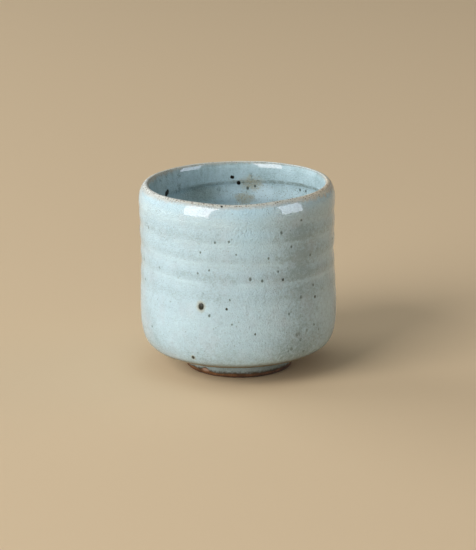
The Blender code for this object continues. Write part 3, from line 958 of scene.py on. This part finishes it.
# How deep the coat lies: in runs under the lip, mostly at the left, and in patches.
runs = wall_runs(tree, height, around, INNER_RUN_WIDTH, INNER_RUN_DROP, 3.0)
even_runs = node(tree, "Math", {0: runs, 1: 0.5}, operation="SUBTRACT")
runs_here = node(
    tree, "MapRange", {0: height, 1: 75 * MM, 2: 83 * MM, 3: 0.0, 4: 0.45}, interpolation_type="SMOOTHSTEP"
)
run_side = node(tree, "MapRange", {0: parts["X"], 1: 12 * MM, 2: -22 * MM, 3: 0.3, 4: 1.3})
run_depth = even_runs
for share in (runs_here, run_side):
    run_depth = node(tree, "Math", {0: run_depth, 1: share}, operation="MULTIPLY")
below_ridge = node(
    tree, "MapRange", {0: height, 1: 70 * MM, 2: 78 * MM, 3: 0.02, 4: -0.08}, interpolation_type="SMOOTHSTEP"
)
# Paler, bluer patches of the coat.
pale_patches = spot_stains(tree, place, inner_coat, PALE_PATCHES, True, 1.3, PALE_PATCH_LENGTHWAYS)
# Partly thin glaze and partly painted shade: a long darker patch low on the left of the inner wall.
thin_shaded_sides = spot_stains(tree, place, inner_coat, THIN_SHADED_SIDES, True, 1.3, THIN_SHADED_SIDE_LENGTHWAYS)
depth = below_ridge
for part, share in (
    (clouds, 0.45),
    (mottle, 0.45),
    (grain, 0.35),
    (run_depth, 1.0),
    (pale_patches, 0.28),
    (thin_shaded_sides, -0.20),
):
    depth = node(tree, "Math", {0: part, 1: share, 2: depth}, operation="MULTIPLY_ADD")

# Its colour, broken to olive in a line over the ridge, which at the left paints the shade under the ridge,
# and to tan in the thin patches, with specks and spots.
coat = glass_colour(tree, depth, "889E9F", "AFC8D0", "CDE4EE")
ridge = spiral_phase(tree, height, around, RIDGE_CREST_HEIGHT)
ridge = node(tree, "Math", {0: ridge, 1: RIDGE_LINE_SHIFT}, operation="ADD")
ridge = node(tree, "Math", {0: ridge}, operation="COSINE")
ridge_olive_and_shade = node(
    tree, "MapRange", {0: ridge, 1: 0.72, 2: 1.0, 3: 0.0, 4: 1.2}, interpolation_type="SMOOTHSTEP"
)
ridge_here = node(tree, "MapRange", {0: height, 1: 70 * MM, 2: 75 * MM, 3: 0.1, 4: 1.0})
# At the left, fainter, the line is painted shade under the ridge; at the right it is thin glaze.
ridge_side = node(tree, "MapRange", {0: parts["X"], 1: -30 * MM, 2: 14 * MM, 3: 0.3, 4: 1.0})
ridge_broken = node(tree, "MapRange", {0: mottle, 1: 0.40, 2: 0.60, 3: 0.1, 4: 0.7})
for share in (ridge_here, ridge_side, ridge_broken):
    ridge_olive_and_shade = node(tree, "Math", {0: ridge_olive_and_shade, 1: share}, operation="MULTIPLY")
patch_place = moved_about(tree, place, mottle, PATCH_UNEVENNESS)
thin_patches = spot_stains(tree, patch_place, inner_coat, THIN_PATCHES, True, 1.2, THIN_PATCH_LENGTHWAYS)
broken = node(tree, "MapRange", {0: grain, 1: 0.36, 2: 0.62, 3: 0.35, 4: 0.9})
fine_specks = iron_specks(tree, place, 0.8 * MM, 0.5 * MM, 0.6)
specks_here = node(tree, "MapRange", {0: height, 1: 75 * MM, 2: 79 * MM, 3: 0.5, 4: 0.15})
specked_side = node(tree, "MapRange", {0: parts["X"], 1: -10 * MM, 2: 25 * MM, 3: 0.8, 4: 1.6})
specks_here = node(tree, "Math", {0: specks_here, 1: specked_side}, operation="MULTIPLY")
coat = layered(
    tree,
    coat,
    [
        (ridge_olive_and_shade, 1.0, "717A6E"),
        (thin_shaded_sides, 0.25, "8C8A72"),
        (thin_patches, broken, "ADAA95"),
        (fine_specks, specks_here, "6A6F66"),
    ],
)
for spots, at, reach, lengthways, share, tint in (
    (INNER_FAINT_MARKS, patch_place, 1.5, FAINT_LENGTHWAYS, 0.5, "4A5C58"),
    (INNER_SPOTS, place, 1.15, SPOT_LENGTHWAYS, 1.0, "17150D"),
    (INNER_SOFT_SPOTS, place, 1.3, SPOT_LENGTHWAYS, 0.85, "2F3A30"),
):
    stains = spot_stains(tree, at, inner_coat, spots, True, reach, lengthways)
    coat = layered(tree, coat, [(stains, share, tint)])

# At the lip it starts thin, in a ragged line that the runs draw out at the left.
right_end, left_end = lip_ends(tree, parts)
back_right = node(tree, "MapRange", {0: parts["X"], 1: 2 * MM, 2: 24 * MM})
left_runs = node(tree, "Math", {0: even_runs, 1: left_end}, operation="MULTIPLY")
lip_depth = node(tree, "Attribute", attribute_name="under_rim").outputs["Fac"]
for part, share in (
    (ragged, -2.0 * MM),
    (back_right, 0.7 * MM),
    (right_end, -0.4 * MM),
    (left_end, -1.0 * MM),
    (left_runs, 6.0 * MM),
):
    lip_depth = node(tree, "Math", {0: part, 1: share, 2: lip_depth}, operation="MULTIPLY_ADD")
thin_at_lip = node(
    tree,
    "MapRange",
    {0: lip_depth, 1: INNER_THIN_LIP_FROM, 2: INNER_THIN_LIP_FULL, 3: 0.0, 4: 0.85},
    interpolation_type="SMOOTHSTEP",
)
lip_specks = iron_specks(tree, place, 0.9 * MM, 0.6 * MM, 0.6)
fewer = node(tree, "MapRange", {0: right_end, 3: 1.0, 4: 0.3})
lip_tan = node(tree, "Mix", {0: right_end, 6: linear("B4B1A5"), 7: linear("F0E6D2")}, data_type="RGBA")
lip_tan = layered(tree, lip_tan, [(lip_specks, fewer, "665A4C")])
coat = node(tree, "Mix", {0: thin_at_lip, 6: coat, 7: lip_tan}, data_type="RGBA")
finish_glaze(tree, coat, grain, INNER_RELIEF)
inner_coat.data.materials.append(inner_glaze)
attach(inner_coat, "root")
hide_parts("inner_glaze")

# Iron spots: grains of iron ore in the clay that melted in the firing and came up through the glaze. Each is
# a low dark bead of iron glass, fused in and standing just proud of the coat.
BEAD_RADIUS_SHARE = 0.4
BEAD_HEIGHT_SHARE = 0.22
BEAD_LENGTH_SHARE = 1.25
BEAD_SWELL_SIZE = 0.7 * MM
BEAD_SWELL_HEIGHT = 0.12 * MM
IRON_BLOOM = 0.7 * MM


def iron_beads(name, coat, spots, from_axis, iron):
    """One low bead for each spot, joined into one piece."""
    bpy.ops.object.select_all(action="DESELECT")
    beads = []
    for angle, height, width in spots:
        point, normal = on_coat(coat, angle, height, from_axis)
        bpy.ops.mesh.primitive_uv_sphere_add(
            segments=20,
            ring_count=10,
            radius=BEAD_RADIUS_SHARE * width * MM,
            location=point,
            rotation=normal.to_track_quat("Z", "Y").to_euler(),
            scale=(1.0, BEAD_LENGTH_SHARE, BEAD_HEIGHT_SHARE),
        )
        beads.append(bpy.context.object)
    for bead in beads:
        bead.select_set(True)
    bpy.ops.object.join()
    bpy.ops.object.transform_apply(location=True, rotation=True, scale=True)
    joined = bpy.context.object
    joined.name = name
    roughen(joined, BEAD_SWELL_SIZE, BEAD_SWELL_HEIGHT)
    bpy.ops.object.shade_smooth()
    joined.data.materials.append(iron)
    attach(joined, "root")


def melted_iron(name, glass, bloom, glossy_ior):
    """A glass that iron has turned nearly black, glossy, with a paler metallic bloom in places."""
    iron = bpy.data.materials.new(name)
    iron.use_nodes = True
    tree = iron.node_tree
    place = node(tree, "TexCoord").outputs["Object"]
    clouds = node(tree, "TexNoise", {"Vector": place, "Scale": 1 / IRON_BLOOM, "Detail": 3.0})
    bloom_share = node(tree, "MapRange", {0: clouds, 1: 0.5, 2: 0.72})
    colour = node(tree, "Mix", {0: bloom_share, 6: linear(glass), 7: linear(bloom)}, data_type="RGBA")
    feed(tree, tree.nodes["Principled BSDF"], {"Base Color": colour, "Roughness": 0.3, "IOR": glossy_ior})
    return iron


# Outside the iron is greenish black with a grey bloom. Inside it came up browner, with hardly any bloom.
outer_iron = melted_iron("melted_iron_glass", "18201A", "465049", 1.5)
inner_iron = melted_iron("brown_melted_iron_glass", "120E08", "241E14", 1.35)
iron_beads("iron_spots_outside", outer_coat, HARD_SPOTS, False, outer_iron)
iron_beads("iron_spots_inside", inner_coat, INNER_SPOTS, True, inner_iron)

# The stage: a plain pale floor, a large soft lamp to the left with a weaker one behind it and a weak warm one
# to the right, a card on each side that only the gloss shows, and a dim even sky.
FLOOR_SIZE = 6.0
LAMP_DISTANCE = 2.5
BOWL_MIDDLE = Vector((0.0, 0.0, 45 * MM))
# Name, angles round from the front and up from the floor, width and length in metres, watts, colour.
LAMPS = [
    ("left_lamp", -48, 25, 1.5, 2.2, 61.5, "FFFCF7"),
    ("back_left_lamp", -115, 20, 2.4, 1.6, 32.0, "FFFFFF"),
    ("right_lamp", 105, 22, 1.6, 1.6, 7.0, "FFE4C8"),
]
CARDS = [
    ("left_card", -47, 25, 1.5, 2.2, 55.0, "FFF2F2"),
    ("right_card", 66, 18, 1.3, 1.6, 30.0, "E4EEFF"),
]

bpy.ops.object.select_all(action="DESELECT")
bpy.ops.mesh.primitive_plane_add(size=FLOOR_SIZE)
floor = bpy.context.object
floor.name = "floor"
paper = bpy.data.materials.new("plain_pale_paper")
paper.use_nodes = True
tree = paper.node_tree
feed(tree, tree.nodes["Principled BSDF"], {"Base Color": linear("E0C8A6"), "Roughness": 0.9})
floor.data.materials.append(paper)


def softbox(name, turn, rise, width, length, power, colour):
    """A soft lamp aimed at the bowl, at an angle round from the front and an angle up from the floor."""
    turn = math.radians(turn)
    rise = math.radians(rise)
    out = Vector((math.sin(turn) * math.cos(rise), -math.cos(turn) * math.cos(rise), math.sin(rise)))
    bpy.ops.object.light_add(type="AREA", location=BOWL_MIDDLE + LAMP_DISTANCE * out)
    lamp = bpy.context.object
    lamp.name = name
    lamp.rotation_euler = out.to_track_quat("Z", "Y").to_euler()
    lamp.data.shape = "RECTANGLE"
    lamp.data.size = width
    lamp.data.size_y = length
    lamp.data.energy = power
    lamp.data.color = linear(colour)[:3]
    return lamp


for lamp in LAMPS:
    softbox(*lamp).visible_glossy = False
for card in CARDS:
    softbox(*card).visible_diffuse = False
world = bpy.data.worlds.new("dim_even_sky")
bpy.context.scene.world = world
world.use_nodes = True
tree = world.node_tree
feed(tree, tree.nodes["Background"], {"Color": linear("EEF5F3"), "Strength": 0.245})

# The camera looks down at the front of the bowl from about a metre away, as in a product photograph.
CAMERA_PLACE = (0.0, -940 * MM, 311.8 * MM)
CAMERA_TILT = math.radians(73.96)
IMAGE_HEIGHT = 550
FOCAL_PIXELS = 2133.0
SENSOR_HEIGHT = 36.0
bpy.ops.object.camera_add(location=CAMERA_PLACE, rotation=(CAMERA_TILT, 0.0, 0.0))
camera = bpy.context.object
camera.data.sensor_fit = "VERTICAL"
camera.data.sensor_height = SENSOR_HEIGHT
camera.data.lens = SENSOR_HEIGHT * FOCAL_PIXELS / IMAGE_HEIGHT
bpy.context.scene.camera = camera
bpy.context.scene.view_settings.view_transform = "Standard"
